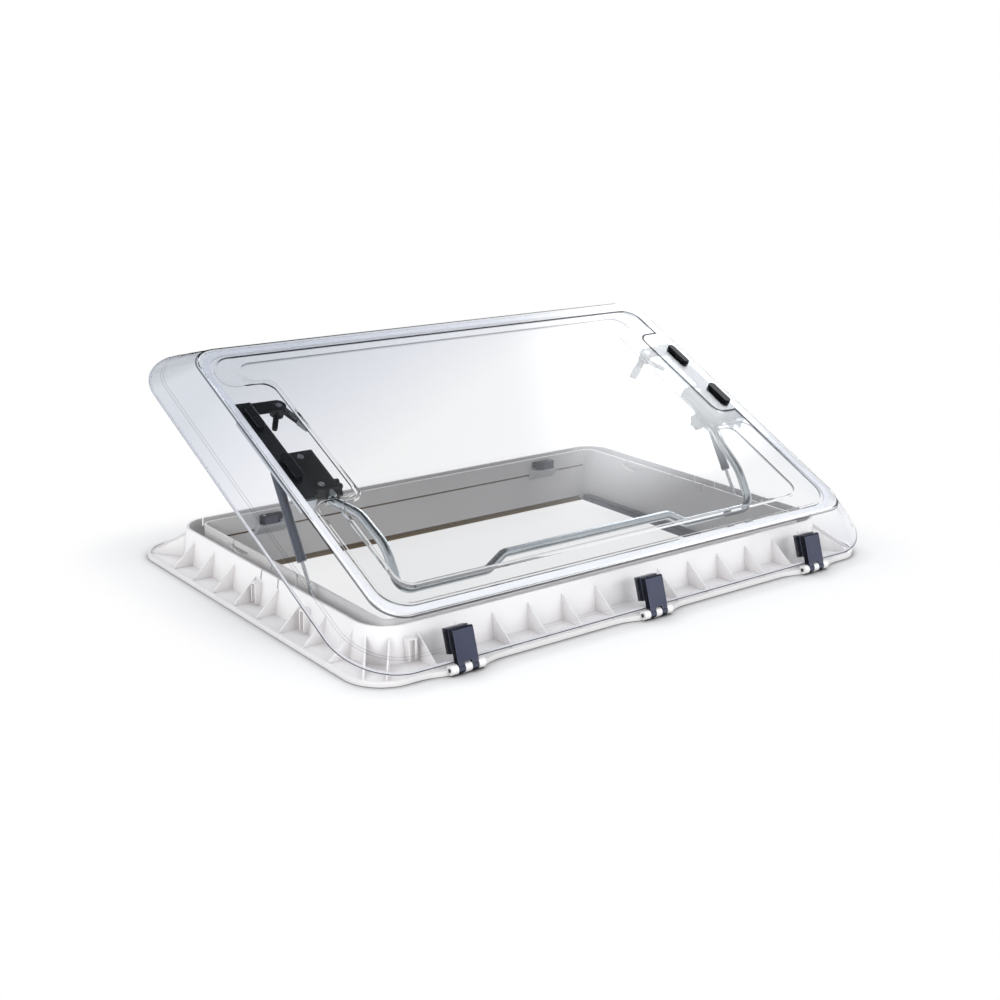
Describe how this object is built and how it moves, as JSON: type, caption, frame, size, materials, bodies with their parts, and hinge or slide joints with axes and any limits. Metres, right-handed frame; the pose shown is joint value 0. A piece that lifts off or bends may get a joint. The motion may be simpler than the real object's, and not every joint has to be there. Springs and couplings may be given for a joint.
{
  "type": "roof window",
  "caption": "Hinged roof window with a clear double-pane dome on gas struts, swing bow with star knobs, turning latches and a deep white frame with blind bars.",
  "frame": {"origin": "centre of the roof cut-out on the roof skin, under the flange", "axes": "+X along the hinge line, +Y from the hinge line to the opening side, +Z out of the roof"},
  "size_m": [1.102, 0.7738, 0.4241],
  "materials": {
    "aluminium": "anodised aluminium, brushed along its length",
    "black_plastic": "black glass-filled plastic",
    "blue_black_plastic": "dark blue-black plastic, semi-gloss",
    "brown_pile": "woven brown pile strip",
    "clear_acrylic": "clear acrylic, polished",
    "dark_steel": "dark blue-grey paint",
    "grey_plastic": "moulded light grey plastic, satin",
    "grey_seal": "grey foam rubber seal",
    "grey_tube": "grey powder-coated steel tube",
    "pleated_cloth": "pleated polyester cloth",
    "white_plastic": "moulded white plastic, fine satin",
    "zinc_steel": "bright zinc-plated steel"
  },
  "bodies": {
    "base": {"outer_frame": "white_plastic", "spigot_ledge": "white_plastic", "frame_flange": "white_plastic", "frame_gussets": "white_plastic", "hinge_knuckles": "white_plastic", "roof_gasket": "grey_seal", "inner_frame": "white_plastic", "inner_rib": "white_plastic", "frame_screws": "zinc_steel", "frame_clips": "white_plastic", "hinge_pins": "dark_steel", "guide_seals": "brown_pile", "catch_pedestals": "grey_plastic", "blind_cassette": "grey_plastic", "blind_pleats": "pleated_cloth", "screen_cassette": "grey_plastic", "screen_pleats": "pleated_cloth", "strut_brackets": "zinc_steel"},
    "dome": {"outer_pane": "clear_acrylic", "inner_pane": "clear_acrylic", "dome_seal": "grey_seal", "hinge_arms": "blue_black_plastic", "hinge_backings": "blue_black_plastic", "hinge_screws": "zinc_steel", "rail_caps": "black_plastic", "lever_bolts": "zinc_steel", "housing_screws": "zinc_steel", "bow_bolts": "zinc_steel", "strut_top_pins": "zinc_steel", "rail_plate_left": "black_plastic", "side_rail_left": "aluminium", "rail_studs_left": "zinc_steel", "pivot_housing_left": "black_plastic", "rail_plate_right": "black_plastic", "side_rail_right": "aluminium", "rail_studs_right": "zinc_steel", "pivot_housing_right": "black_plastic"},
    "bow": {"bow_tube": "grey_tube", "bow_lugs": "grey_tube"},
    "rear_catch_left": {"rear_catch_left": "blue_black_plastic"},
    "latch_lever_left": {"latch_lever_left": "black_plastic", "lever_grip_left": "grey_plastic"},
    "star_knob_left": {"star_knob_left": "black_plastic"},
    "strut_cylinder_left": {"strut_cylinder_left": "dark_steel"},
    "strut_rod_left": {"strut_rod_left": "zinc_steel"},
    "rear_catch_right": {"rear_catch_right": "blue_black_plastic"},
    "latch_lever_right": {"latch_lever_right": "black_plastic", "lever_grip_right": "grey_plastic"},
    "star_knob_right": {"star_knob_right": "black_plastic"},
    "strut_cylinder_right": {"strut_cylinder_right": "dark_steel"},
    "strut_rod_right": {"strut_rod_right": "zinc_steel"},
    "blind_pull_bar": {"blind_pull_bar": "dark_steel", "blind_pull_shoes": "grey_plastic"},
    "screen_pull_bar": {"screen_pull_bar": "dark_steel", "screen_pull_shoes": "grey_plastic"}
  },
  "joints": [
    {"name": "dome_hinge", "type": "hinge", "parent": "base", "child": "dome", "pos_m": [0, -0.3889, 0.0081], "axis": [1, 0, 0], "range_deg": [-26.1, 0]},
    {"name": "bow_swing", "type": "hinge", "parent": "dome", "child": "bow", "pos_m": [0, -0.07162, 0.19694], "axis": [1, 0, 0], "range_deg": [-3.5, 75]},
    {"name": "latch_turn_left", "type": "hinge", "parent": "dome", "child": "latch_lever_left", "pos_m": [-0.402, 0.08701, 0.29136], "axis": [0, 0.4399, -0.898], "range_deg": [0, 59]},
    {"name": "knob_turn_left", "type": "hinge", "parent": "dome", "child": "star_knob_left", "pos_m": [-0.396, -0.07162, 0.19694], "axis": [1, 0, 0], "continuous": true},
    {"name": "strut_pivot_left", "type": "hinge", "parent": "dome", "child": "strut_cylinder_left", "pos_m": [-0.461, 0.00117, 0.23928], "axis": [1, 0, 0], "range_deg": [-21.7, 0]},
    {"name": "strut_stroke_left", "type": "slide", "parent": "strut_cylinder_left", "child": "strut_rod_left", "axis": [0, -0.5228, -0.8525], "range_m": [-0.0658, 0]},
    {"name": "catch_turn_left", "type": "hinge", "parent": "base", "child": "rear_catch_left", "pos_m": [-0.327, 0.276, 0.0475], "axis": [0, 0, -1], "range_deg": [0, 45]},
    {"name": "latch_turn_right", "type": "hinge", "parent": "dome", "child": "latch_lever_right", "pos_m": [0.402, 0.08701, 0.29136], "axis": [0, -0.4399, 0.898], "range_deg": [0, 59]},
    {"name": "knob_turn_right", "type": "hinge", "parent": "dome", "child": "star_knob_right", "pos_m": [0.396, -0.07162, 0.19694], "axis": [1, 0, 0], "continuous": true},
    {"name": "strut_pivot_right", "type": "hinge", "parent": "dome", "child": "strut_cylinder_right", "pos_m": [0.461, 0.00117, 0.23928], "axis": [1, 0, 0], "range_deg": [-21.7, 0]},
    {"name": "strut_stroke_right", "type": "slide", "parent": "strut_cylinder_right", "child": "strut_rod_right", "axis": [0, -0.5228, -0.8525], "range_m": [-0.0658, 0]},
    {"name": "catch_turn_right", "type": "hinge", "parent": "base", "child": "rear_catch_right", "pos_m": [0.327, 0.276, 0.0475], "axis": [0, 0, 1], "range_deg": [0, 45]},
    {"name": "blind_draw", "type": "slide", "parent": "base", "child": "blind_pull_bar", "axis": [-1, 0, 0], "range_m": [0, 0.41]},
    {"name": "screen_draw", "type": "slide", "parent": "base", "child": "screen_pull_bar", "axis": [1, 0, 0], "range_m": [0, 0.41]}
  ],
  "couplings": [
    {"joint": "strut_pivot_left", "follows": "dome_hinge", "ratio": 0.82813},
    {"joint": "strut_stroke_left", "follows": "dome_hinge", "m_per_rad": 0.14388},
    {"joint": "strut_pivot_right", "follows": "dome_hinge", "ratio": 0.82813},
    {"joint": "strut_stroke_right", "follows": "dome_hinge", "m_per_rad": 0.14388}
  ]
}
